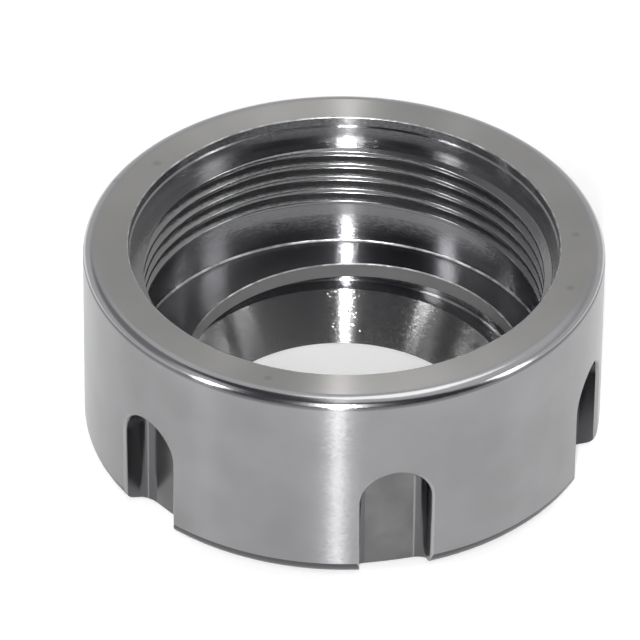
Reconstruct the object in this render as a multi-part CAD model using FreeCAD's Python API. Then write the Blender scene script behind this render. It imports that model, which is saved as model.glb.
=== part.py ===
"""Collet clamping nut, turned from one bar of steel, with six spanner slots.

The nut lies on its nose, the clamping end, with its threaded mouth up. The origin is the centre
of the nose face, +Z is the nut's axis towards the mouth, one spanner slot lies on -Y, and the
extraction lip is offset towards +X. All sizes are in millimetres.

From the mouth down, the inside is a short lead-in, a plain counterbore, the thread at its minor
diameter, a relief groove with a flat shoulder, the thin lip whose bore is off the axis so that it
catches the collet's groove on one side, the groove under the lip, and the cone that presses the
collet shut.
"""

import FreeCAD
import Part

import math
import os

# Body
OUTER_DIAMETER = 50.0
HEIGHT = 22.5
MOUTH_EDGE_WIDTH = 1.28          # rounded outer edge at the mouth, measured along the radius
MOUTH_EDGE_DEPTH = 1.0           # the same edge, measured along the axis

# Nose: a flat ring and a cone that rises from it to the rounded rim
NOSE_DIAMETER = 40.4
NOSE_CONE_ANGLE = 25.0           # degrees, between the cone and the nose plane
RIM_ROUNDING = 1.8               # radius between the cone and the side

# Mouth
LEAD_IN_DIAMETER = 41.3
LEAD_IN_DEPTH = 1.1              # to the foot of the 45 degree step onto the counterbore
COUNTERBORE_DIAMETER = 41.0
COUNTERBORE_DEPTH = 2.9
MOUTH_INNER_EDGE = 0.15

# Thread, M40 x 1.5, bored here to its minor diameter
THREAD_DIAMETER = 40.0
THREAD_PITCH = 1.5
THREAD_END_DEPTH = 11.3
THREAD_ENTRY_CHAMFER = 0.1

# Relief groove under the thread
RELIEF_DIAMETER = 41.0
SHOULDER_DEPTH = 14.9
RELIEF_CORNER = 0.45

# Extraction lip, bored off the axis
LIP_BORE_DIAMETER = 32.9
LIP_OFFSET = 1.25
LIP_THICKNESS = 1.6
LIP_EDGE = 0.15

# Groove under the lip
GROOVE_DIAMETER = 35.7
GROOVE_WIDTH = 1.25

# Cone that closes the collet
SEAT_DIAMETER = 32.7             # at its wide end, on the groove's lower side
SEAT_HALF_ANGLE = 30.0           # degrees, between the cone and the axis
THROAT_EDGE = 0.1                # bevel round the hole in the nose

# Spanner slots
SLOT_COUNT = 6
SLOT_WIDTH = 6.85
SLOT_FLOOR_RADIUS = 21.7         # from the nut's axis to the flat floor
SLOT_TOP_DEPTH = 8.85            # from the mouth face to the top of the round end
SLOT_FLOOR_CORNER = 1.25         # radius between the floor and the walls

# How far a cutting shape runs past the body, and how closely an edge is matched to its place
CUT_OVERRUN = 1.0
MATCH = 1e-4

# Derived sizes
OUTER_RADIUS = OUTER_DIAMETER / 2.0
NOSE_RADIUS = NOSE_DIAMETER / 2.0
RIM_HEIGHT = (OUTER_RADIUS - NOSE_RADIUS) * math.tan(math.radians(NOSE_CONE_ANGLE))
LEAD_IN_RADIUS = LEAD_IN_DIAMETER / 2.0
LEAD_IN_STEP = (LEAD_IN_DIAMETER - COUNTERBORE_DIAMETER) / 2.0
COUNTERBORE_RADIUS = COUNTERBORE_DIAMETER / 2.0
COUNTERBORE_Z = HEIGHT - COUNTERBORE_DEPTH
THREAD_MINOR_RADIUS = THREAD_DIAMETER / 2.0 - THREAD_PITCH * math.sqrt(3.0) / 2.0 * 5.0 / 8.0
THREAD_END_Z = HEIGHT - THREAD_END_DEPTH
RELIEF_RADIUS = RELIEF_DIAMETER / 2.0
SHOULDER_Z = HEIGHT - SHOULDER_DEPTH
LIP_BORE_RADIUS = LIP_BORE_DIAMETER / 2.0
LIP_UNDER_Z = SHOULDER_Z - LIP_THICKNESS
GROOVE_RADIUS = GROOVE_DIAMETER / 2.0
SEAT_TOP_Z = LIP_UNDER_Z - GROOVE_WIDTH
SEAT_RADIUS = SEAT_DIAMETER / 2.0
THROAT_RADIUS = SEAT_RADIUS - (SEAT_TOP_Z - THROAT_EDGE) * math.tan(math.radians(SEAT_HALF_ANGLE))
SLOT_RADIUS = SLOT_WIDTH / 2.0
SLOT_TOP_Z = HEIGHT - SLOT_TOP_DEPTH

AXIS = FreeCAD.Vector(0.0, 0.0, 1.0)
CENTRE = FreeCAD.Vector(0.0, 0.0, 0.0)


def section_point(radius, height):
    """A point of a turned section, in the XZ plane."""
    return FreeCAD.Vector(radius, 0.0, height)


def turned(corners):
    """Turn a closed section, given as (radius, height) corners, about the nut's axis."""
    points = [section_point(*corner) for corner in corners]
    face = Part.Face(Part.makePolygon(points + points[:1]))
    return face.revolve(CENTRE, AXIS, 360.0)


def rings_at(shape, radius, height):
    """The shape's circular edges about the axis with this radius and height."""
    found = []
    for edge in shape.Edges:
        curve = edge.Curve
        if not isinstance(curve, Part.Circle):
            continue
        on_axis = math.hypot(curve.Center.x, curve.Center.y) < MATCH
        if on_axis and abs(curve.Radius - radius) < MATCH and abs(curve.Center.z - height) < MATCH:
            found.append(edge)
    return found


def blank():
    """The outside: a cylinder with a quarter ellipse at the mouth and a cone and rounded rim at the nose."""
    side_top = section_point(OUTER_RADIUS, HEIGHT - MOUTH_EDGE_DEPTH)
    face_edge = section_point(OUTER_RADIUS - MOUTH_EDGE_WIDTH, HEIGHT)
    edge_centre = section_point(OUTER_RADIUS - MOUTH_EDGE_WIDTH, HEIGHT - MOUTH_EDGE_DEPTH)
    if MOUTH_EDGE_WIDTH >= MOUTH_EDGE_DEPTH:
        ellipse = Part.Ellipse(side_top, face_edge, edge_centre)
    else:
        ellipse = Part.Ellipse(face_edge, side_top, edge_centre)
    start = ellipse.parameter(side_top)
    end = ellipse.parameter(face_edge)
    if end < start:
        start, end = end, start
    rounded_edge = Part.ArcOfEllipse(ellipse, start, end).toShape()

    nose_centre = section_point(0.0, 0.0)
    nose_edge = section_point(NOSE_RADIUS, 0.0)
    rim = section_point(OUTER_RADIUS, RIM_HEIGHT)
    top_centre = section_point(0.0, HEIGHT)
    edges = [
        Part.makeLine(nose_centre, nose_edge),
        Part.makeLine(nose_edge, rim),
        Part.makeLine(rim, side_top),
        rounded_edge,
        Part.makeLine(face_edge, top_centre),
        Part.makeLine(top_centre, nose_centre),
    ]
    outline = Part.Wire(Part.__sortEdges__(edges))
    body = Part.Face(outline).revolve(CENTRE, AXIS, 360.0)
    return body.makeFillet(RIM_ROUNDING, rings_at(body, OUTER_RADIUS, RIM_HEIGHT))


def mouth_bore():
    """The space above the lip: lead-in, counterbore, threaded bore and relief groove."""
    above = HEIGHT + CUT_OVERRUN
    bore = turned([
        (0.0, SHOULDER_Z),
        (RELIEF_RADIUS, SHOULDER_Z),
        (RELIEF_RADIUS, THREAD_END_Z),
        (THREAD_MINOR_RADIUS, THREAD_END_Z),
        (THREAD_MINOR_RADIUS, COUNTERBORE_Z - THREAD_ENTRY_CHAMFER),
        (THREAD_MINOR_RADIUS + THREAD_ENTRY_CHAMFER, COUNTERBORE_Z),
        (COUNTERBORE_RADIUS, COUNTERBORE_Z),
        (COUNTERBORE_RADIUS, HEIGHT - LEAD_IN_DEPTH),
        (LEAD_IN_RADIUS, HEIGHT - LEAD_IN_DEPTH + LEAD_IN_STEP),
        (LEAD_IN_RADIUS, HEIGHT - MOUTH_INNER_EDGE),
        (LEAD_IN_RADIUS + MOUTH_INNER_EDGE, HEIGHT),
        (LEAD_IN_RADIUS + MOUTH_INNER_EDGE, above),
        (0.0, above),
    ])
    return bore.makeFillet(RELIEF_CORNER, rings_at(bore, RELIEF_RADIUS, SHOULDER_Z))


def lip_bore():
    """The bore through the lip, off the axis, with its broken upper edge."""
    centre = FreeCAD.Vector(LIP_OFFSET, 0.0, LIP_UNDER_Z)
    bore = Part.makeCylinder(LIP_BORE_RADIUS, LIP_THICKNESS, centre, AXIS)
    edge_start = FreeCAD.Vector(LIP_OFFSET, 0.0, SHOULDER_Z - LIP_EDGE)
    edge = Part.makeCone(LIP_BORE_RADIUS, LIP_BORE_RADIUS + LIP_EDGE, LIP_EDGE, edge_start, AXIS)
    return bore.fuse(edge)


def collet_seat():
    """The groove under the lip, the closing cone and the hole through the nose."""
    return turned([
        (0.0, 0.0),
        (THROAT_RADIUS + THROAT_EDGE, 0.0),
        (THROAT_RADIUS, THROAT_EDGE),
        (SEAT_RADIUS, SEAT_TOP_Z),
        (GROOVE_RADIUS, SEAT_TOP_Z),
        (GROOVE_RADIUS, LIP_UNDER_Z),
        (0.0, LIP_UNDER_Z),
    ])


def spanner_slot(angle):
    """One slot, open towards the nose and outwards: a flat floor and a round top end."""
    below = -CUT_OVERRUN
    reach = OUTER_RADIUS - SLOT_FLOOR_RADIUS + CUT_OVERRUN
    straight = Part.makeBox(
        SLOT_WIDTH, reach, SLOT_TOP_Z - SLOT_RADIUS - below,
        FreeCAD.Vector(-SLOT_RADIUS, -SLOT_FLOOR_RADIUS - reach, below),
    )
    round_end = Part.makeCylinder(
        SLOT_RADIUS, reach,
        FreeCAD.Vector(0.0, -SLOT_FLOOR_RADIUS - reach, SLOT_TOP_Z - SLOT_RADIUS),
        FreeCAD.Vector(0.0, 1.0, 0.0),
    )
    slot = straight.fuse(round_end).removeSplitter()
    floor_corners = [
        edge for edge in slot.Edges
        if abs(edge.BoundBox.YMin + SLOT_FLOOR_RADIUS) < MATCH
        and abs(edge.BoundBox.YMax + SLOT_FLOOR_RADIUS) < MATCH
        and edge.BoundBox.ZMax > below + MATCH
    ]
    slot = slot.makeFillet(SLOT_FLOOR_CORNER, floor_corners)
    slot.rotate(CENTRE, AXIS, angle)
    return slot


def collet_nut():
    """The whole nut, as one solid."""
    body = blank()
    for hollow in (mouth_bore(), lip_bore(), collet_seat()):
        body = body.cut(hollow)
    for index in range(SLOT_COUNT):
        body = body.cut(spanner_slot(index * 360.0 / SLOT_COUNT))
    return body.removeSplitter().Solids[0]


os.makedirs("parts", exist_ok=True)
nut = collet_nut()
nut.exportStep("parts/collet_nut.step")
print("collet_nut", "valid" if nut.isValid() else "not valid", round(nut.Volume, 1), "mm3")
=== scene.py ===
"""Collet clamping nut: its turned, threaded and milled steel, on a pale floor in soft studio light.

Everything is in metres, in the frame of the solid: the nut stands on its nose at z = 0, its axis
is +Z, one spanner slot lies on -Y and the extraction lip is offset towards +X.
"""

import math

import bmesh
import bpy
from bpy.props import FloatProperty, FloatVectorProperty, IntProperty, PointerProperty
from bpy.types import Operator, Panel, PropertyGroup
from mathutils import Matrix, Vector


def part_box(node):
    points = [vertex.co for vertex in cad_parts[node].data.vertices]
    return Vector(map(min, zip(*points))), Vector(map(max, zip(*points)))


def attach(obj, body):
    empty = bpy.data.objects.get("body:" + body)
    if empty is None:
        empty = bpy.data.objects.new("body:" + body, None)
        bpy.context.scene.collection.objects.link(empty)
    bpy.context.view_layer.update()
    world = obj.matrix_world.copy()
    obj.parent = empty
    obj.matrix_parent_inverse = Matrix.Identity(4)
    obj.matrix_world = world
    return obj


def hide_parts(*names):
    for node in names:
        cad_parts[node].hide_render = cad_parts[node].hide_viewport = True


bl_info = {
    "name": "Collet nut",
    "version": (1, 0, 0),
    "blender": (4, 5, 0),
    "location": "3D View > Sidebar > Collet nut",
    "description": "Builds a collet clamping nut and a plain studio round it",
    "category": "Mesh",
}

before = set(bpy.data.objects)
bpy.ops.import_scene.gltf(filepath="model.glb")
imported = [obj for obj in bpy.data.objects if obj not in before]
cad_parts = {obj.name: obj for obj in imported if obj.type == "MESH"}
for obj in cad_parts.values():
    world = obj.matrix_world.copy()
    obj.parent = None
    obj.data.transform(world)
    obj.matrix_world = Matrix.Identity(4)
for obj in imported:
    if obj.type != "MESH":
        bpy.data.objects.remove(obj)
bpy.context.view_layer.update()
NODE = "collet_nut"
NODE_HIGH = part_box(NODE)[1]
MM = 0.001
CLOSE = 1e-6  # metres, within which two places count as the same
CREASE = math.radians(28.0)  # faces that meet at more than this have a hard edge between them

# Shares of a face's normal along a direction: a face is square to the direction above the first, and
# hardly faces that way below the second.
SQUARE = 0.99
SLIGHT = 0.02

# Slopes of a face, as the upward share of its normal.
# Below this slope the foot of the mouth edge gets a darker steel, painted shade for the dark reflection it
# shows there.
FOOT_SLOPE = 0.40  # below this, the rounded mouth edge is at its foot
# Below this slope the lower rim gets a dark steel, painted shade for the shadowed floor near the nut that it
# mirrors.
RIM_SHADE_SLOPE = -0.08  # above this, the lower rim still goes with the side
OVER_SLOPE = -0.25  # below this, the round top of a slot faces down
# Faces of an inner edge or corner that slope between these face the light above and get a bright steel, a
# painted highlight.
GLINT_SLOPES = (0.45, 0.85)  # between these, an inner edge or corner is bright

# The steel surfaces of the nut, in the order of its materials. WALL has none: it marks the slots' walls
# only until the creases beside them are found.
# The broken inner edges are a bright steel, painted highlight.
# The foot of the mouth edge is a darker steel, painted shade.
# The lower rim is a darker steel, painted shade.
# The slots' floors, corners and walls are darker steels, painted shade.
# The slots' rounded rims are a lighter steel, part burnished and part painted highlight.
(GROUND, FACED, EDGE, FOOT_SHADE, EDGE_GLINT, BAND, BORED, SEAT, THREAD, LIP, MILLED, CORNER, RIM, SHADED_RIM,
 WALL) = range(15)


def length(name, description, default):
    """A length property, in metres."""
    return FloatProperty(name=name, description=description, default=default, unit="LENGTH", precision=5)


def share(name, description, default):
    """A property from 0 to 1."""
    return FloatProperty(name=name, description=description, default=default, min=0.0, max=1.0)


def colour(name, description, default):
    """A colour property, in linear values."""
    return FloatVectorProperty(name=name, description=description, default=default, subtype="COLOR",
                               min=0.0, max=1.0)


def angle(name, description, degrees):
    """An angle property, given in degrees."""
    return FloatProperty(name=name, description=description, default=math.radians(degrees), unit="ROTATION")


def power(name, description, default):
    """The power of a lamp, in watts."""
    return FloatProperty(name=name, description=description, default=default, unit="POWER")


def pixels(name, description, default):
    """A length in the photograph, in pixels."""
    return FloatProperty(name=name, description=description, default=default, subtype="PIXEL")


class ColletNutSizes(PropertyGroup):
    """Sizes of the turned section, the thread and the spanner slots."""

    outer_radius: length("Outer radius", "Radius of the round side", NODE_HIGH.x)
    height: length("Height", "From the nose face to the mouth face", NODE_HIGH.z)
    mouth_edge_width: length("Mouth edge width", "Rounded outer edge, along the radius", 1.28 * MM)
    mouth_edge_depth: length("Mouth edge depth", "Rounded outer edge, along the axis", 1.0 * MM)
    nose_radius: length("Nose radius", "Outer radius of the flat nose ring", 20.2 * MM)
    nose_angle: angle("Nose cone angle", "Between the nose cone and its plane", 25.0)
    rim_rounding: length("Rim rounding", "Radius between the side and the nose cone", 1.8 * MM)
    lead_radius: length("Lead-in radius", "Short bore inside the mouth edge", 20.65 * MM)
    lead_depth: length("Lead-in depth", "From the mouth face to the counterbore", 1.1 * MM)
    mouth_break: length("Mouth break", "Rounded inner edge of the mouth", 0.12 * MM)
    counterbore_radius: length("Counterbore radius", "Plain bore above the thread", 20.5 * MM)
    counterbore_depth: length("Counterbore depth", "From the mouth face to its floor", 2.9 * MM)
    thread_radius: length("Thread radius", "Major radius, at the thread's root", 20.0 * MM)
    thread_pitch: length("Thread pitch", "Axial rise of one turn", 1.5 * MM)
    thread_rounding: length("Thread rounding", "Rounding of the crests and roots", 0.08 * MM)
    thread_end: length("Thread end depth", "Where the last thread ends", 9.9 * MM)
    crest_depth: length("Crest depth", "Depth of the first crest's middle, opposite the camera", 3.29 * MM)
    runout_radius: length("Run-out radius", "Plain bore between the thread and the relief", 20.05 * MM)
    runout_end: length("Run-out end depth", "Where the relief groove starts", 11.3 * MM)
    relief_radius: length("Relief radius", "Groove under the thread", 20.5 * MM)
    relief_corner: length("Relief corner", "Fillet between the relief and the shoulder", 0.45 * MM)
    shoulder_depth: length("Shoulder depth", "From the mouth face to the flat shoulder", 14.9 * MM)
    lip_radius: length("Lip bore radius", "Bore of the extraction lip", 16.45 * MM)
    lip_offset: length("Lip offset", "How far the lip's bore is off the axis", 1.25 * MM)
    lip_thickness: length("Lip thickness", "Along the axis", 1.6 * MM)
    lip_edge: length("Lip edge", "Broken upper edge of the lip", 0.10 * MM)
    lip_under_edge: length("Lip under edge", "Broken lower edge of the lip", 0.05 * MM)
    groove_radius: length("Groove radius", "Groove under the lip", 17.85 * MM)
    groove_width: length("Groove width", "Along the axis", 1.25 * MM)
    groove_corner: length("Groove corner", "Bevel of the groove's two corners", 0.15 * MM)
    seat_radius: length("Seat radius", "Wide end of the closing cone", 16.35 * MM)
    seat_angle: angle("Seat half angle", "Between the closing cone and the axis", 30.0)
    throat_edge: length("Throat edge", "Bevel round the hole in the nose", 0.1 * MM)
    slot_width: length("Slot width", "Width of a spanner slot", 6.85 * MM)
    slot_floor: length("Slot floor radius", "From the axis to the slot's flat floor", 21.7 * MM)
    slot_top: length("Slot top depth", "From the mouth face to the slot's round end", 8.85 * MM)
    slot_corner: length("Slot corner", "Fillet between the slot's floor and walls", 1.25 * MM)
    slot_break: length("Slot break", "Rounding of the slot's rim", 0.35 * MM)
    slot_count: IntProperty(name="Slot count", description="Spanner slots round the nut", default=6, min=1)
    steps: IntProperty(name="Steps", description="Faces round a full turn", default=384, min=48)


class ColletNutLooks(PropertyGroup):
    """Colours and roughness of the steel surfaces."""

    side_colour: colour("Side", "Ground steel of the round side", (0.25, 0.25, 0.255))
    face_colour: colour("Faces", "Faced steel of the mouth and the nose", (0.43, 0.425, 0.42))
    edge_colour: colour("Mouth edge", "Polished steel of the rounded mouth edge", (0.42, 0.42, 0.43))
    # Painted shade: a darker colour on the foot of the mouth edge, standing in for the dim room and floor it
    # mirrors there.
    foot_shade_colour: colour("Edge foot", "Darker steel where the mouth edge runs into the side",
                        (0.155, 0.155, 0.165))
    bore_colour: colour("Bore", "Turned and polished steel of the bore", (0.33, 0.33, 0.34))
    seat_colour: colour("Seat", "Ground steel of the closing cone", (0.44, 0.44, 0.44))
    thread_colour: colour("Thread", "Cut steel of the thread", (0.30, 0.30, 0.305))
    band_colour: colour("Counterbore", "Turned steel of the plain bore above the thread",
                        (0.31, 0.31, 0.32))
    # Painted highlight: this bright colour goes on the mouth's broken inner edge and on the sloping faces of
    # the shoulder corner and the lip edge.
    glint_colour: colour("Sharp edges", "Bright steel of the broken inner edges", (0.46, 0.46, 0.46))
    lip_colour: colour("Lip", "Fine grey steel of the lip's wall", (0.24, 0.24, 0.24))
    # Painted shade: the slots' floors, and their walls and corners darker still, get darker colours than the
    # side for the shade and dark reflections in the slots.
    slot_shade_colour: colour("Slot floors", "Milled steel of the slots' floors", (0.145, 0.145, 0.147))
    wall_shade_colour: colour("Slot walls", "Darker milled steel of the slots' walls", (0.12, 0.12, 0.125))
    # Part burnished steel and part painted highlight: the slots' rounded rims are given a lighter colour than
    # the side.
    break_burnish_and_glint_colour: colour("Slot breaks", "Steel of the slots' rounded rims", (0.30, 0.30, 0.30))
    # Painted shade: the lower rim is given this dark colour for the shadowed floor it mirrors, not for a
    # darker steel.
    rim_shade_colour: colour("Lower rim", "Darker turned steel of the lower rim", (0.085, 0.085, 0.088))
    side_roughness: share("Side roughness", "How matt the round side is", 0.22)
    face_roughness: share("Face roughness", "How matt the flat faces are", 0.27)
    edge_roughness: share("Edge roughness", "How matt the rounded mouth edge is", 0.16)
    bore_roughness: share("Bore roughness", "How matt the polished bore is", 0.20)
    thread_roughness: share("Thread roughness", "How matt the thread is", 0.22)
    slot_roughness: share("Slot roughness", "How matt the slots are", 0.26)
    wall_roughness: share("Slot wall roughness", "How matt the slots' walls and corners are", 0.20)
    glint_roughness: share("Sharp edge roughness", "How matt the broken inner edges are", 0.35)
    break_roughness: share("Slot break roughness", "How matt the slots' rounded rims are", 0.32)
    lip_roughness: share("Lip roughness", "How matt the lip's wall is", 0.40)
    rim_roughness: share("Lower rim roughness", "How matt the lower rim is", 0.35)
    turning_grain: share("Turning grain", "How far highlights are drawn out across the turning marks", 1.0)


class ColletNutStudio(PropertyGroup):
    """Camera, floor and light."""

    camera_azimuth: angle("Camera azimuth", "From -Y towards +X", -12.15)
    camera_elevation: angle("Camera elevation", "Above the floor", 36.53)
    camera_distance: length("Camera distance", "From the centre of the mouth", 0.75)
    camera_roll: angle("Camera roll", "Turns the picture anticlockwise", 0.712)
    focal_pixels: pixels("Focal length", "From the lens to the picture", 7842.7)
    picture_pixels: pixels("Picture size", "Side of the square picture", 640.0)
    mouth_pixel_x: pixels("Mouth centre x", "Column of the mouth's centre in the picture", 344.19)
    mouth_pixel_y: pixels("Mouth centre y", "Row of the mouth's centre in the picture", 242.98)
    floor_colour: colour("Floor", "Pale matt floor", (0.80, 0.80, 0.80))
    floor_size: length("Floor size", "Half the side of the floor", 3.0)
    floor_gap: length("Floor gap", "How far the floor lies under the nut", 0.02 * MM)
    floor_lift: share("Floor lift", "Brings the floor up to white where it is seen", 0.30)
    sky_zenith: colour("Light above", "Room light from above", (0.75, 0.75, 0.75))
    sky_left: colour("Light above left", "Room light high up on the left, behind the nut", (0.30, 0.30, 0.31))
    sky_gap: colour("Dark gap above", "Dim gap in the room light, overhead on the left", (0.06, 0.06, 0.07))
    sky_low: colour("Light at the sides", "Room light low at the sides and behind", (0.72, 0.72, 0.72))
    sky_middle: colour("Light half way up", "Room light half way up, at the sides and behind",
                       (0.54, 0.54, 0.54))
    sky_front: colour("Light in front", "Dim side of the room, behind the camera", (0.035, 0.035, 0.045))
    lamp_distance: length("Lamp distance", "From the foot of the nut to each lamp", 1.2)
    overhead_power: power("Overhead power", "Soft lamp above, behind the nut", 1.1)
    left_power: power("Left power", "Tall lamp to the left", 3.4)
    right_power: power("Right power", "Tall lamp to the right", 2.3)
    front_power: power("Front power", "Tall narrow lamp in front", 24.0)
    strip_power: power("Strip power", "Long narrow lamp overhead", 0.25)


def arc(centre, radii, start, end, count):
    """Points (radius, height) of an elliptical arc, from one angle to another, in degrees."""
    points = []
    for index in range(count + 1):
        reached = math.radians(start + (end - start) * index / count)
        points.append((centre[0] + radii[0] * math.cos(reached),
                       centre[1] + radii[1] * math.sin(reached)))
    return points


def rim_top(s):
    """The height at which the rounded lower rim meets the side."""
    run = s.outer_radius - s.rim_rounding - s.nose_radius
    return run * math.tan(s.nose_angle) + s.rim_rounding / math.cos(s.nose_angle)


def outer_section(s):
    """The section from the counterbore floor up over the mouth, down the side and in to the throat."""
    top = s.height
    lead_step = s.lead_radius - s.counterbore_radius
    rim_centre = s.outer_radius - s.rim_rounding
    nose_turn = math.degrees(s.nose_angle) - 90.0
    seat_top = top - s.shoulder_depth - s.lip_thickness - s.groove_width
    throat = s.seat_radius - (seat_top - s.throat_edge) * math.tan(s.seat_angle)
    edge_centre = (s.outer_radius - s.mouth_edge_width, top - s.mouth_edge_depth)
    return (
        [(s.counterbore_radius, top - s.counterbore_depth),
         (s.counterbore_radius, top - s.lead_depth),
         (s.lead_radius, top - s.lead_depth + lead_step)]
        + arc((s.lead_radius + s.mouth_break, top - s.mouth_break), (s.mouth_break, s.mouth_break),
              180.0, 90.0, 4)
        + arc(edge_centre, (s.mouth_edge_width, s.mouth_edge_depth), 90.0, 0.0, 14)
        + arc((rim_centre, rim_top(s)), (s.rim_rounding, s.rim_rounding), 0.0, nose_turn, 12)
        + [(s.nose_radius, 0.0),
           (throat + s.throat_edge, 0.0),
           (throat, s.throat_edge)]
    )


def inner_section(s):
    """The section from the throat up the closing cone, round the lip and the relief to the run-out."""
    shoulder = s.height - s.shoulder_depth
    lip_under = shoulder - s.lip_thickness
    seat_top = lip_under - s.groove_width
    return (
        [(s.seat_radius, seat_top),
         (s.groove_radius - s.groove_corner, seat_top),
         (s.groove_radius, seat_top + s.groove_corner),
         (s.groove_radius, lip_under - s.groove_corner),
         (s.groove_radius - s.groove_corner, lip_under),
         (s.lip_radius + s.lip_under_edge, lip_under),
         (s.lip_radius, lip_under + s.lip_under_edge),
         (s.lip_radius, shoulder - s.lip_edge),
         (s.lip_radius + s.lip_edge, shoulder)]
        + arc((s.relief_radius - s.relief_corner, shoulder + s.relief_corner),
              (s.relief_corner, s.relief_corner), -90.0, 0.0, 6)
        + [(s.relief_radius, s.height - s.runout_end),
           (s.runout_radius, s.height - s.runout_end),
           (s.runout_radius, s.height - s.thread_end)]
    )


def turn(bm, section, steps):
    """Turn an open section about the axis."""
    verts = [bm.verts.new((radius, 0.0, height)) for radius, height in section]
    edges = [bm.edges.new(pair) for pair in zip(verts, verts[1:])]
    bmesh.ops.spin(bm, geom=verts + edges, cent=(0, 0, 0), axis=(0, 0, 1), dvec=(0, 0, 0),
                   angle=math.tau, steps=steps, use_merge=True, use_duplicate=False)


def shift_lip(bm, s):
    """Move the rings of the lip's bore off the axis."""
    shoulder = s.height - s.shoulder_depth
    lip_under = shoulder - s.lip_thickness
    widest = s.lip_radius + s.lip_edge
    rings = [v for v in bm.verts
             if lip_under - CLOSE < v.co.z < shoulder + CLOSE and v.co.xy.length < widest + CLOSE]
    bmesh.ops.translate(bm, verts=rings, vec=(s.lip_offset, 0, 0))


def thread_wall(s, camera_azimuth):
    """The helical wall of the thread, cut off flat at both ends, in its own bmesh."""
    pitch = s.thread_pitch
    # The metric profile: 5/8 of a 60 degree triangle deep, with flats at the crest and the root that are a
    # quarter and an eighth of the pitch wide.
    crest = s.thread_radius - pitch * math.sqrt(3.0) / 2.0 * 5.0 / 8.0
    half_crest = pitch / 8.0
    half_root = pitch / 16.0
    top = s.height - s.counterbore_depth
    bottom = s.height - s.thread_end
    bm = bmesh.new()
    corners = [(s.thread_radius, 0.0), (s.thread_radius, half_root),
               (crest, pitch / 2 - half_crest), (crest, pitch / 2 + half_crest),
               (s.thread_radius, pitch - half_root), (s.thread_radius, pitch)]
    verts = [bm.verts.new((radius, 0.0, height)) for radius, height in corners]
    edges = [bm.edges.new(pair) for pair in zip(verts, verts[1:])]
    bmesh.ops.bevel(bm, geom=verts[1:-1], offset=s.thread_rounding, offset_type="OFFSET",
                    affect="VERTICES", segments=3, profile=0.5, material=-1)
    bmesh.ops.spin(bm, geom=bm.verts[:] + bm.edges[:], cent=(0, 0, 0), axis=(0, 0, 1),
                   dvec=(0, 0, pitch / s.steps), angle=math.tau, steps=s.steps,
                   use_merge=False, use_duplicate=False)
    # The crest's middle lies at crest_depth on the side away from the camera.
    away = math.pi / 2 + camera_azimuth
    crest_height = s.height - s.crest_depth - pitch * away / math.tau
    start = crest_height - pitch / 2 - pitch * math.ceil((crest_height - bottom) / pitch + 1)
    bmesh.ops.translate(bm, verts=bm.verts[:], vec=(0, 0, start))
    first_turn = bm.verts[:] + bm.edges[:] + bm.faces[:]
    for turn_up in range(1, math.ceil((top - start) / pitch) + 1):
        copied = bmesh.ops.duplicate(bm, geom=first_turn)["geom"]
        raised = [g for g in copied if isinstance(g, bmesh.types.BMVert)]
        bmesh.ops.translate(bm, verts=raised, vec=(0, 0, pitch * turn_up))
    bmesh.ops.remove_doubles(bm, verts=bm.verts[:], dist=2 * CLOSE)
    for height, normal in ((top, (0, 0, 1)), (bottom, (0, 0, -1))):
        bmesh.ops.bisect_plane(bm, geom=bm.verts[:] + bm.edges[:] + bm.faces[:], dist=CLOSE / 2,
                               plane_co=(0, 0, height), plane_no=normal, clear_outer=True,
                               clear_inner=False)
    return bm


def close_ring(bm, height):
    """Fill the flat ring between the two open edge loops at one height."""
    loops = [e for e in bm.edges
             if e.is_boundary and all(abs(v.co.z - height) < CLOSE for v in e.verts)]
    bmesh.ops.triangle_fill(bm, edges=loops, use_beauty=True, use_dissolve=False, normal=(0, 0, 1))


def check_closed(bm, name):
    """Raise an error if a mesh has open edges."""
    open_edges = sum(1 for e in bm.edges if not e.is_manifold)
    if open_edges:
        raise RuntimeError(f"the {name} has {open_edges} open edges")


def mesh_object(name, bm):
    """A new object at the origin from a bmesh, which is freed."""
    mesh = bpy.data.meshes.new(name)
    bm.to_mesh(mesh)
    bm.free()
    piece = bpy.data.objects.new(name, mesh)
    bpy.context.scene.collection.objects.link(piece)
    return piece


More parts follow.
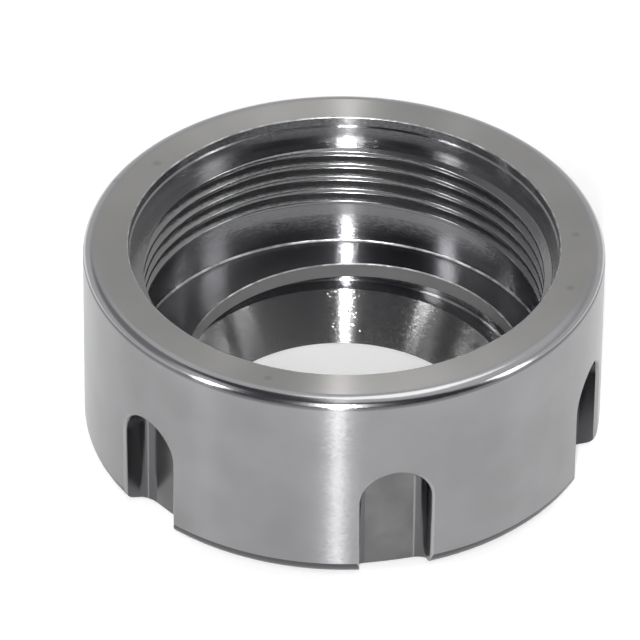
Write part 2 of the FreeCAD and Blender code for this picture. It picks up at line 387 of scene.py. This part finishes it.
def slot_cutters(s):
    """The space of every spanner slot, flared at the rim so that it rounds it, as one object."""
    bm = bmesh.new()
    half = s.slot_width / 2
    centre_z = s.height - s.slot_top - half
    below = -1.0 * MM  # under the nose
    flare = 0.6 * MM  # past the side
    outline = [(half, below)] + arc((0.0, centre_z), (half, half), 0.0, 180.0, 48) + [(-half, below)]
    front = bm.faces.new([bm.verts.new((x, -s.slot_floor, z)) for x, z in outline])

    def pull_out(face, radius, grow):
        """Extrude a face of the cutter outwards to a cylinder about the axis, and widen it."""
        pulled = bmesh.ops.extrude_face_region(bm, geom=[face] + face.edges[:])["geom"]
        for vert in (g for g in pulled if isinstance(g, bmesh.types.BMVert)):
            vert.co.x *= grow
            if vert.co.z > centre_z:
                vert.co.z = centre_z + (vert.co.z - centre_z) * grow
            vert.co.y = -math.sqrt(radius ** 2 - vert.co.x ** 2)
        return next(g for g in pulled if isinstance(g, bmesh.types.BMFace))

    # The wall runs straight to the first angle, in degrees, and goes round the rim through the others. They
    # stop short of 90, where it would run along the side.
    spread = 0.0
    for degrees in (0, 21, 42, 63, 82):
        wider = s.slot_break * (1.0 - math.cos(math.radians(degrees)))
        radius = s.outer_radius - s.slot_break * (1.0 - math.sin(math.radians(degrees)))
        front = pull_out(front, radius, (half + wider) / (half + spread))
        spread = wider
    pull_out(front, s.outer_radius + flare, (half + spread + flare) / (half + spread))
    bmesh.ops.recalc_face_normals(bm, faces=bm.faces[:])
    corners = [e for e in bm.edges
               if all(abs(v.co.y + s.slot_floor) < CLOSE for v in e.verts)
               and any(v.co.z > below + CLOSE for v in e.verts)]
    bmesh.ops.bevel(bm, geom=corners, offset=s.slot_corner, offset_type="OFFSET", affect="EDGES",
                    segments=12, profile=0.5, material=-1)
    if s.slot_count > 1:
        bmesh.ops.spin(bm, geom=bm.verts[:] + bm.edges[:] + bm.faces[:], cent=(0, 0, 0), axis=(0, 0, 1),
                       dvec=(0, 0, 0), angle=math.tau * (s.slot_count - 1) / s.slot_count,
                       steps=s.slot_count - 1, use_merge=False, use_duplicate=True)
    bmesh.ops.recalc_face_normals(bm, faces=bm.faces[:])
    return mesh_object("slot_cutters", bm)


def apply_modifiers(piece):
    """Put the modified mesh in the place of the piece's own."""
    graph = bpy.context.evaluated_depsgraph_get()
    finished = bpy.data.meshes.new_from_object(piece.evaluated_get(graph))
    old = piece.data
    piece.modifiers.clear()
    piece.data = finished
    bpy.data.meshes.remove(old)


def keep_faces_flat(piece):
    """Weight the normals by face area, at a size at which the areas of the small faces count."""
    piece.data.transform(Matrix.Scale(1.0 / MM, 4))
    flat = piece.modifiers.new("flat_faces", "WEIGHTED_NORMAL")
    flat.mode = "FACE_AREA"
    flat.keep_sharp = True
    apply_modifiers(piece)
    piece.data.transform(Matrix.Scale(MM, 4))


def slot_surface(s, face, centre):
    """Which surface of a spanner slot a face belongs to, or None outside the slots."""
    radius = centre.xy.length
    slope = face.normal.z
    if radius < s.slot_floor - CLOSE or s.height - centre.z < s.slot_top - s.slot_break - CLOSE:
        return None
    if centre.z < rim_top(s) and slope < -SLIGHT:
        return None
    sector = math.tau / s.slot_count
    turn_round = math.atan2(centre.y, centre.x) + math.pi / 2
    from_middle = (turn_round + sector / 2) % sector - sector / 2
    if abs(math.sin(from_middle)) * radius > s.slot_width / 2 + s.slot_break + CLOSE:
        return None
    out = Vector((centre.x, centre.y, 0.0)).normalized()
    outward = face.normal.dot(out)
    # Round the top of the slot, faces look down and out: far out, the rounded rim, which goes with the
    # side, and further in, the corner at the floor, which goes with the floor.
    round_top = slope < OVER_SLOPE and outward > SLIGHT
    if outward > SQUARE or round_top:
        return None if radius > s.slot_floor + s.slot_corner else MILLED
    if radius > s.outer_radius - s.slot_break:
        # The rounded rim gets a lighter steel, part burnished and part painted highlight.
        return RIM
    # The floor, corners and walls get darker steels, painted shade of the slot.
    facing = face.normal.dot(Matrix.Rotation(-from_middle, 3, "Z") @ out)
    return MILLED if facing > SQUARE else WALL if facing < SLIGHT else CORNER


def surface_kind(s, face):
    """Which steel surface a face of the nut belongs to."""
    centre = face.calc_center_median()
    radius = centre.xy.length
    depth = s.height - centre.z
    slope = face.normal.z
    if s.counterbore_depth < depth < s.thread_end and radius < s.counterbore_radius:
        return THREAD
    edge_start = s.outer_radius - s.mouth_edge_width
    if depth < CLOSE and radius < edge_start:
        return FACED
    slot = slot_surface(s, face, centre)
    if slot is not None:
        return slot
    on_outside = radius > edge_start - CLOSE
    if on_outside and depth < s.mouth_edge_depth:
        # The foot of the mouth edge gets the darker steel, painted shade.
        return FOOT_SHADE if slope < FOOT_SLOPE else EDGE
    # The lower rim gets the dark steel, painted shade.
    if CLOSE < centre.z < rim_top(s) and radius > s.nose_radius and slope < RIM_SHADE_SLOPE:
        return SHADED_RIM
    if on_outside:
        return GROUND
    # The mouth's broken inner edge gets the bright steel, a painted highlight.
    if depth < s.mouth_break:
        return EDGE_GLINT
    if depth < s.counterbore_depth - CLOSE / 10:
        return BAND
    if centre.z < CLOSE:
        return FACED
    under_shoulder = depth - s.shoulder_depth
    in_corner = -s.relief_corner < under_shoulder < 0.0
    on_lip_edge = CLOSE < under_shoulder < s.lip_edge
    # The parts of the shoulder corner and the lip edge that slope towards the light get the bright steel, a
    # painted highlight.
    sloping = GLINT_SLOPES[0] < slope < GLINT_SLOPES[1]
    if sloping and (in_corner or on_lip_edge):
        return EDGE_GLINT
    if s.lip_edge < under_shoulder < s.lip_thickness:
        return LIP
    if under_shoulder > s.lip_thickness + s.groove_width + CLOSE:
        return SEAT
    return BORED


def build_nut(s, studio):
    """The whole nut as one closed mesh."""
    bm = bmesh.new()
    turn(bm, outer_section(s) + inner_section(s), s.steps)
    shift_lip(bm, s)
    helix = thread_wall(s, studio.camera_azimuth)
    wall = bpy.data.meshes.new("thread_wall")
    helix.to_mesh(wall)
    helix.free()
    bm.from_mesh(wall)
    bpy.data.meshes.remove(wall)
    close_ring(bm, s.height - s.counterbore_depth)
    close_ring(bm, s.height - s.thread_end)
    bmesh.ops.remove_doubles(bm, verts=bm.verts[:], dist=CLOSE)
    bmesh.ops.recalc_face_normals(bm, faces=bm.faces[:])
    check_closed(bm, "turned body")
    return mesh_object("nut", bm)


def cut_slots(piece, s):
    """Cut the spanner slots out of the turned body."""
    cutters = slot_cutters(s)
    cut = piece.modifiers.new("slots", "BOOLEAN")
    cut.operation = "DIFFERENCE"
    cut.solver = "MANIFOLD"
    cut.object = cutters
    apply_modifiers(piece)
    piece.data.materials.clear()
    bpy.data.objects.remove(cutters)


def mark_surfaces(piece, s):
    """Give each face its steel surface, and crease the slots' corners against their floors and walls."""
    bm = bmesh.new()
    bm.from_mesh(piece.data)
    check_closed(bm, "nut")
    bm.normal_update()
    for face in bm.faces:
        face.material_index = surface_kind(s, face)
        face.smooth = True
    creases = []
    for edge in bm.edges:
        kinds = {face.material_index for face in edge.link_faces}
        if CORNER in kinds and kinds & {MILLED, WALL}:
            creases.append(edge.index)
    for face in bm.faces:
        if face.material_index == WALL:
            face.material_index = CORNER
    bm.to_mesh(piece.data)
    bm.free()
    # This clears the creases that are marked before it.
    piece.data.set_sharp_from_angle(angle=CREASE)
    for index in creases:
        piece.data.edges[index].use_edge_sharp = True


def new_material(name, base, metallic, roughness):
    """A material with one Principled shader. Returns the material, its nodes, links and shader."""
    material = bpy.data.materials.new(name)
    material.use_nodes = True
    nodes = material.node_tree.nodes
    shader = nodes["Principled BSDF"]
    shader.inputs["Base Color"].default_value = (*base, 1.0)
    shader.inputs["Metallic"].default_value = metallic
    shader.inputs["Roughness"].default_value = roughness
    return material, nodes, material.node_tree.links, shader


def add_socket(group, name, direction, kind, default=None):
    """A named input or output of a node group."""
    socket = group.interface.new_socket(name=name, in_out=direction, socket_type=kind)
    if default is not None:
        socket.default_value = default


def feed(links, value, socket):
    """Give an input socket a value, or a link from another socket. None leaves it as it is."""
    if isinstance(value, bpy.types.NodeSocket):
        links.new(value, socket)
    elif value is not None:
        socket.default_value = value


def arithmetic(nodes, links, operation, first, second):
    """A Math node on two numbers or sockets."""
    node = nodes.new("ShaderNodeMath")
    node.operation = operation
    feed(links, first, node.inputs[0])
    feed(links, second, node.inputs[1])
    return node.outputs[0]


def vector_step(nodes, links, operation, first, second=None, scale=None):
    """A Vector Math node on one or two vectors or sockets, with a scale where it needs one."""
    node = nodes.new("ShaderNodeVectorMath")
    node.operation = operation
    feed(links, first, node.inputs[0])
    feed(links, second, node.inputs[1])
    if scale is not None:
        feed(links, scale, node.inputs["Scale"])
    return node.outputs["Value" if operation in {"LENGTH", "DOT_PRODUCT"} else "Vector"]


def smooth_step(nodes, links, value, start, end):
    """A mask that rises smoothly from 0 to 1 while the value goes from start to end."""
    step = nodes.new("ShaderNodeMapRange")
    step.interpolation_type = "SMOOTHSTEP"
    step.inputs["From Min"].default_value = start
    step.inputs["From Max"].default_value = end
    links.new(value, step.inputs["Value"])
    return step.outputs["Result"]


def turning_marks_group():
    """Fine grooves round the axis. They tilt the normal across the grooves, and a little along them."""
    changes_round = 60.0  # how often a groove changes on its way round
    group = bpy.data.node_groups.new("turning_marks", "ShaderNodeTree")
    add_socket(group, "Position", "INPUT", "NodeSocketVector")
    add_socket(group, "Tilt", "INPUT", "NodeSocketFloat", 0.1)
    add_socket(group, "Waver", "INPUT", "NodeSocketFloat", 0.02)
    add_socket(group, "Sparkle", "INPUT", "NodeSocketFloat", 0.0)
    add_socket(group, "Per Metre", "INPUT", "NodeSocketFloat", 15000.0)
    add_socket(group, "Normal", "OUTPUT", "NodeSocketVector")
    nodes, links = group.nodes, group.links
    given = nodes.new("NodeGroupInput").outputs
    result = nodes.new("NodeGroupOutput").inputs
    flat = vector_step(nodes, links, "MULTIPLY", given["Position"], (1.0, 1.0, 0.0))
    radius = vector_step(nodes, links, "LENGTH", flat)
    outward = vector_step(nodes, links, "NORMALIZE", flat)
    split = nodes.new("ShaderNodeSeparateXYZ")
    links.new(given["Position"], split.inputs[0])
    on_circle = nodes.new("ShaderNodeSeparateXYZ")
    links.new(vector_step(nodes, links, "SCALE", outward, scale=changes_round), on_circle.inputs[0])
    place = nodes.new("ShaderNodeCombineXYZ")
    links.new(arithmetic(nodes, links, "MULTIPLY", radius, given["Per Metre"]), place.inputs["X"])
    links.new(arithmetic(nodes, links, "MULTIPLY", split.outputs["Z"], given["Per Metre"]), place.inputs["Y"])
    links.new(on_circle.outputs["X"], place.inputs["Z"])
    noise = nodes.new("ShaderNodeTexNoise")
    noise.noise_dimensions = "4D"
    noise.inputs["Scale"].default_value = 1.0
    noise.inputs["Detail"].default_value = 1.0
    links.new(place.outputs[0], noise.inputs["Vector"])
    links.new(on_circle.outputs["Y"], noise.inputs["W"])
    split_noise = nodes.new("ShaderNodeSeparateColor")
    links.new(noise.outputs["Color"], split_noise.inputs[0])
    normal = nodes.new("ShaderNodeNewGeometry").outputs["Normal"]
    along = vector_step(nodes, links, "CROSS_PRODUCT", (0.0, 0.0, 1.0), outward)
    across = vector_step(nodes, links, "CROSS_PRODUCT", normal, along)
    for direction, channel, amount in ((across, "Red", given["Tilt"]), (along, "Green", given["Waver"])):
        centred = arithmetic(nodes, links, "SUBTRACT", split_noise.outputs[channel], 0.5)
        if channel == "Green":
            # The square is large only here and there, where the steel then sparkles.
            square = arithmetic(nodes, links, "MULTIPLY", centred, centred)
            rare = arithmetic(nodes, links, "MULTIPLY", square, given["Sparkle"])
            amount = arithmetic(nodes, links, "ADD", amount, rare)
        tilt = arithmetic(nodes, links, "MULTIPLY", centred, amount)
        normal = vector_step(nodes, links, "ADD", normal,
                             vector_step(nodes, links, "SCALE", direction, scale=tilt))
    links.new(vector_step(nodes, links, "NORMALIZE", normal), result["Normal"])
    return group


def handling_wear_group():
    """Faint mottling of the colour, and a few small dark specks, drawn out along the axis."""
    specks_per_metre = 160.0
    along_axis = 0.4
    speck_edge, speck_heart = 0.10, 0.03
    speck_darkness = 0.16
    group = bpy.data.node_groups.new("handling_wear", "ShaderNodeTree")
    add_socket(group, "Position", "INPUT", "NodeSocketVector")
    add_socket(group, "Colour", "INPUT", "NodeSocketColor")
    add_socket(group, "Mottling", "INPUT", "NodeSocketFloat", 0.1)
    add_socket(group, "Per Metre", "INPUT", "NodeSocketFloat", 140.0)
    add_socket(group, "Colour", "OUTPUT", "NodeSocketColor")
    nodes, links = group.nodes, group.links
    given = nodes.new("NodeGroupInput").outputs
    result = nodes.new("NodeGroupOutput").inputs
    cloud = nodes.new("ShaderNodeTexNoise")
    links.new(given["Per Metre"], cloud.inputs["Scale"])
    cloud.inputs["Detail"].default_value = 4.0
    links.new(given["Position"], cloud.inputs["Vector"])
    specks = nodes.new("ShaderNodeTexVoronoi")
    specks.inputs["Scale"].default_value = specks_per_metre
    drawn_out = vector_step(nodes, links, "MULTIPLY", given["Position"], (1.0, 1.0, along_axis))
    links.new(drawn_out, specks.inputs["Vector"])
    spot = smooth_step(nodes, links, specks.outputs["Distance"], speck_edge, speck_heart)
    spot = arithmetic(nodes, links, "MULTIPLY", spot, speck_darkness)
    shade = arithmetic(nodes, links, "SUBTRACT", cloud.outputs["Fac"], 0.5)
    shade = arithmetic(nodes, links, "MULTIPLY", shade, given["Mottling"])
    shade = arithmetic(nodes, links, "SUBTRACT", shade, spot)
    shade = arithmetic(nodes, links, "ADD", shade, 1.0)
    links.new(vector_step(nodes, links, "SCALE", given["Colour"], scale=shade), result["Colour"])
    return group


def steel(name, base, roughness, groups, grain=0.0, tilt=0.0, waver=0.0, sparkle=0.0,
          marks_per_metre=15000.0, mottling=0.25, clouds_per_metre=140.0):
    """A steel with handling wear, and, where they are given, turning marks and grain round the axis."""
    material, nodes, links, shader = new_material(name, base, 1.0, roughness)
    position = nodes.new("ShaderNodeTexCoord").outputs["Object"]

    def place(group, values):
        """Put a node group in the material with its own values. Returns what it gives."""
        node = nodes.new("ShaderNodeGroup")
        node.node_tree = groups[group]
        for socket, value in values.items():
            node.inputs[socket].default_value = value
        links.new(position, node.inputs["Position"])
        return node.outputs

    worn = place("wear", {"Colour": (*base, 1.0), "Mottling": mottling, "Per Metre": clouds_per_metre})
    links.new(worn["Colour"], shader.inputs["Base Color"])
    if tilt or waver:
        marked = place("marks", {"Tilt": tilt, "Waver": waver, "Sparkle": sparkle,
                                 "Per Metre": marks_per_metre})
        links.new(marked["Normal"], shader.inputs["Normal"])
    if grain:
        shader.inputs["Anisotropic"].default_value = grain
        shader.inputs["Anisotropic Rotation"].default_value = 0.25
        tangent = nodes.new("ShaderNodeTangent")
        tangent.direction_type = "RADIAL"
        tangent.axis = "Z"
        links.new(tangent.outputs["Tangent"], shader.inputs["Tangent"])
    return material


def nut_steels(looks):
    """The steels of the nut's surfaces, in the order of the list at the top."""
    groups = {"marks": turning_marks_group(), "wear": handling_wear_group()}
    grain = looks.turning_grain
    return (
        steel("ground_side", looks.side_colour, looks.side_roughness, groups, grain=grain,
              tilt=0.10, waver=0.035, sparkle=0.3, marks_per_metre=5000.0, mottling=0.45),
        steel("faced_mouth", looks.face_colour, looks.face_roughness, groups, grain=grain,
              tilt=0.10, waver=0.02),
        steel("polished_edge", looks.edge_colour, looks.edge_roughness, groups, tilt=0.06, waver=0.02),
        # The foot of the mouth edge: the side's steel darkened, painted shade for the dark reflection there.
        steel("edge_foot_painted_shade", looks.foot_shade_colour, looks.side_roughness, groups, grain=grain,
              tilt=0.10, waver=0.035, sparkle=0.3, marks_per_metre=5000.0),
        # Bright steel for the broken inner edges, a painted highlight; its strong mottling breaks it into a
        # ragged line.
        steel("painted_edge_glint", looks.glint_colour, looks.glint_roughness, groups,
              tilt=0.5, waver=0.5, marks_per_metre=5000.0, mottling=2.5, clouds_per_metre=900.0),
        steel("turned_band", looks.band_colour, looks.bore_roughness, groups, grain=grain,
              tilt=0.5, waver=0.02, sparkle=4.0),
        steel("polished_bore", looks.bore_colour, looks.bore_roughness, groups, grain=grain,
              tilt=0.4, waver=0.02, sparkle=2.5, marks_per_metre=9000.0),
        steel("closing_cone", looks.seat_colour, looks.bore_roughness, groups, grain=grain,
              tilt=0.3, waver=0.02, sparkle=4.0, marks_per_metre=7000.0),
        steel("cut_thread", looks.thread_colour, looks.thread_roughness, groups, tilt=0.4, waver=0.10),
        steel("lip_wall", looks.lip_colour, looks.lip_roughness, groups, tilt=0.2, waver=0.05),
        # The slots' floors, corners and walls: darker steels, painted shade of the recess and of the dark
        # things it mirrors.
        steel("slot_floor", looks.slot_shade_colour, looks.slot_roughness, groups,
              mottling=0.8, clouds_per_metre=300.0),
        steel("slot_wall_painted_shade", looks.wall_shade_colour, looks.wall_roughness, groups, grain=grain),
        # The slots' rounded rims: a lighter steel, part burnished and part painted highlight.
        steel("slot_rim_burnish_and_glint", looks.break_burnish_and_glint_colour, looks.break_roughness, groups),
        # The lower rim: a dark steel, painted shade for the shadowed floor it mirrors.
        steel("lower_rim_painted_shade", looks.rim_shade_colour, looks.rim_roughness, groups, mottling=0.3),
    )


class COLLET_OT_nut(Operator):
    """Build the nut and put its steel on it"""

    bl_idname = "collet.nut"
    bl_label = "Nut"

    def execute(self, context):
        scene = context.scene
        s = scene.collet_nut_sizes
        piece = build_nut(s, scene.collet_nut_studio)
        cut_slots(piece, s)
        mark_surfaces(piece, s)
        keep_faces_flat(piece)
        for material in nut_steels(scene.collet_nut_looks):
            piece.data.materials.append(material)
        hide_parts(NODE)
        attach(piece, "root")
        return {"FINISHED"}


def around(azimuth, elevation, distance):
    """A point round the nut, in the camera's sense of azimuth."""
    level = math.cos(elevation)
    return Vector((math.sin(azimuth) * level, -math.cos(azimuth) * level, math.sin(elevation))) * distance


def add_camera(studio, target):
    """The camera at the photograph's viewing angle, with the mouth's centre at its own pixel."""
    data = bpy.data.cameras.new("camera")
    data.sensor_width = 36.0
    data.lens = studio.focal_pixels * data.sensor_width / studio.picture_pixels
    data.clip_end = 20.0
    camera = bpy.data.objects.new("camera", data)
    bpy.context.scene.collection.objects.link(camera)
    outward = around(studio.camera_azimuth, studio.camera_elevation, 1.0)
    centre_ray = Vector(((studio.mouth_pixel_x - studio.picture_pixels / 2) / studio.focal_pixels,
                         -(studio.mouth_pixel_y - studio.picture_pixels / 2) / studio.focal_pixels, -1.0))
    level = (-outward).to_track_quat("-Z", "Y").to_matrix()
    off_centre = centre_ray.rotation_difference(Vector((0, 0, -1))).to_matrix()
    roll = Matrix.Rotation(studio.camera_roll, 3, outward)
    turned = (roll @ level @ off_centre).to_4x4()
    camera.matrix_world = Matrix.Translation(target + outward * studio.camera_distance) @ turned
    bpy.context.scene.camera = camera


def add_area(name, place, aim, size, watts):
    """A rectangular lamp at a place, aimed at a point."""
    data = bpy.data.lights.new(name, "AREA")
    data.shape = "RECTANGLE"
    data.size, data.size_y = size
    data.energy = watts
    lamp = bpy.data.objects.new(name, data)
    bpy.context.scene.collection.objects.link(lamp)
    aimed = (aim - place).to_track_quat("-Z", "Y").to_matrix().to_4x4()
    lamp.matrix_world = Matrix.Translation(place) @ aimed


def add_floor(studio):
    """A pale floor that is white where it is seen or mirrored, and keeps the nut's shadow."""
    bm = bmesh.new()
    bmesh.ops.create_grid(bm, x_segments=1, y_segments=1, size=studio.floor_size)
    bmesh.ops.translate(bm, verts=bm.verts[:], vec=(0, 0, -studio.floor_gap))
    floor = mesh_object("floor", bm)
    material, nodes, links, shader = new_material("floor", studio.floor_colour, 0.0, 1.0)
    shader.inputs["Specular IOR Level"].default_value = 0.0
    rays = nodes.new("ShaderNodeLightPath").outputs
    seen = arithmetic(nodes, links, "MAXIMUM", rays["Is Camera Ray"], rays["Is Glossy Ray"])
    seen = arithmetic(nodes, links, "MAXIMUM", seen, rays["Is Transmission Ray"])
    glow = nodes.new("ShaderNodeEmission")
    links.new(arithmetic(nodes, links, "MULTIPLY", seen, studio.floor_lift), glow.inputs["Strength"])
    both = nodes.new("ShaderNodeAddShader")
    links.new(shader.outputs[0], both.inputs[0])
    links.new(glow.outputs[0], both.inputs[1])
    links.new(both.outputs[0], nodes["Material Output"].inputs["Surface"])
    floor.data.materials.append(material)


def blend(nodes, links, mask, first, second):
    """Mix two colours, each a colour value or a socket, by a mask."""
    mix = nodes.new("ShaderNodeMix")
    mix.data_type = "RGBA"
    for name, value in (("A", first), ("B", second)):
        is_socket = isinstance(value, bpy.types.NodeSocket)
        feed(links, value if is_socket else (*value, 1.0), mix.inputs[name])
    links.new(mask, mix.inputs["Factor"])
    return mix.outputs["Result"]


def set_world(studio):
    """Soft room light: bright above and at the sides, dim on the camera's side, pale below the horizon."""
    world = bpy.data.worlds.new("studio")
    bpy.context.scene.world = world
    world.use_nodes = True
    nodes, links = world.node_tree.nodes, world.node_tree.links
    direction = nodes.new("ShaderNodeTexCoord").outputs["Generated"]
    split = nodes.new("ShaderNodeSeparateXYZ")
    links.new(direction, split.inputs[0])
    height = split.outputs["Z"]
    to_camera = around(studio.camera_azimuth, 0.0, 1.0)
    to_right = around(studio.camera_azimuth + math.pi / 2, 0.0, 1.0)
    facing = vector_step(nodes, links, "DOT_PRODUCT", direction, to_camera)
    rightward = vector_step(nodes, links, "DOT_PRODUCT", direction, to_right)
    # The parts of the room, each over the ones before it: its light, and the height, the way to the right
    # or the way towards the camera at which it begins and is full. These are shares of the direction.
    room = studio.sky_low
    for light, limits in (
        (studio.sky_middle, ((height, 0.38, 0.50),)),
        (studio.sky_zenith, ((height, 0.60, 0.76),)),
        (studio.sky_left, ((rightward, -0.36, -0.46), (height, 0.44, 0.53), (facing, 0.10, -0.03))),
        (studio.sky_gap, ((rightward, -0.05, -0.10), (rightward, -0.52, -0.42),
                          (facing, -0.31, -0.25), (height, 0.68, 0.80))),
        (studio.sky_front, ((facing, 0.30, 0.48),)),
    ):
        mask = None
        for value, start, full in limits:
            step = smooth_step(nodes, links, value, start, full)
            mask = step if mask is None else arithmetic(nodes, links, "MULTIPLY", mask, step)
        room = blend(nodes, links, mask, room, light)
    above_horizon = smooth_step(nodes, links, height, -0.02, 0.01)
    room = blend(nodes, links, above_horizon, studio.floor_colour, room)
    links.new(room, nodes["Background"].inputs["Color"])


class COLLET_OT_studio(Operator):
    """Build the floor, the light and the camera"""

    bl_idname = "collet.studio"
    bl_label = "Studio"

    def execute(self, context):
        scene = context.scene
        studio = scene.collet_nut_studio
        mouth = Vector((0, 0, scene.collet_nut_sizes.height))
        add_camera(studio, mouth)
        add_floor(studio)
        set_world(studio)
        middle = Vector((0, 0, scene.collet_nut_sizes.height / 2))
        # Degrees from the camera's azimuth, degrees above the floor, width and height, and watts.
        for name, azimuth, elevation, size, watts in (
            ("overhead_lamp", 152.0, 72.0, (0.5, 0.5), studio.overhead_power),
            ("left_lamp", -57.0, 25.0, (0.17, 0.6), studio.left_power),
            ("right_lamp", 74.0, 24.0, (0.26, 0.6), studio.right_power),
            ("front_lamp", -1.5, 24.0, (0.05, 1.0), studio.front_power),
            ("strip_lamp", -1.5, 80.0, (0.05, 1.0), studio.strip_power),
        ):
            place = around(studio.camera_azimuth + math.radians(azimuth), math.radians(elevation),
                           studio.lamp_distance)
            add_area(name, place, middle, size, watts)
        scene.view_settings.view_transform = "Standard"
        return {"FINISHED"}


class COLLET_PT_panel(Panel):
    """Builds the nut and its studio from the sidebar"""

    bl_idname = "COLLET_PT_panel"
    bl_label = "Collet nut"
    bl_space_type = "VIEW_3D"
    bl_region_type = "UI"
    bl_category = "Collet nut"

    def draw(self, context):
        layout = self.layout
        layout.operator(COLLET_OT_nut.bl_idname)
        layout.operator(COLLET_OT_studio.bl_idname)


CLASSES = (ColletNutSizes, ColletNutLooks, ColletNutStudio, COLLET_OT_nut, COLLET_OT_studio, COLLET_PT_panel)


def register():
    """Register the classes and hang the settings on the scene."""
    for cls in CLASSES:
        bpy.utils.register_class(cls)
    bpy.types.Scene.collet_nut_sizes = PointerProperty(type=ColletNutSizes)
    bpy.types.Scene.collet_nut_looks = PointerProperty(type=ColletNutLooks)
    bpy.types.Scene.collet_nut_studio = PointerProperty(type=ColletNutStudio)


def unregister():
    """Take the settings off the scene and unregister the classes."""
    del bpy.types.Scene.collet_nut_studio
    del bpy.types.Scene.collet_nut_looks
    del bpy.types.Scene.collet_nut_sizes
    for cls in reversed(CLASSES):
        bpy.utils.unregister_class(cls)


def main():
    """Build everything in order."""
    register()
    bpy.ops.collet.nut()
    bpy.ops.collet.studio()


if __name__ == "__main__":
    main()
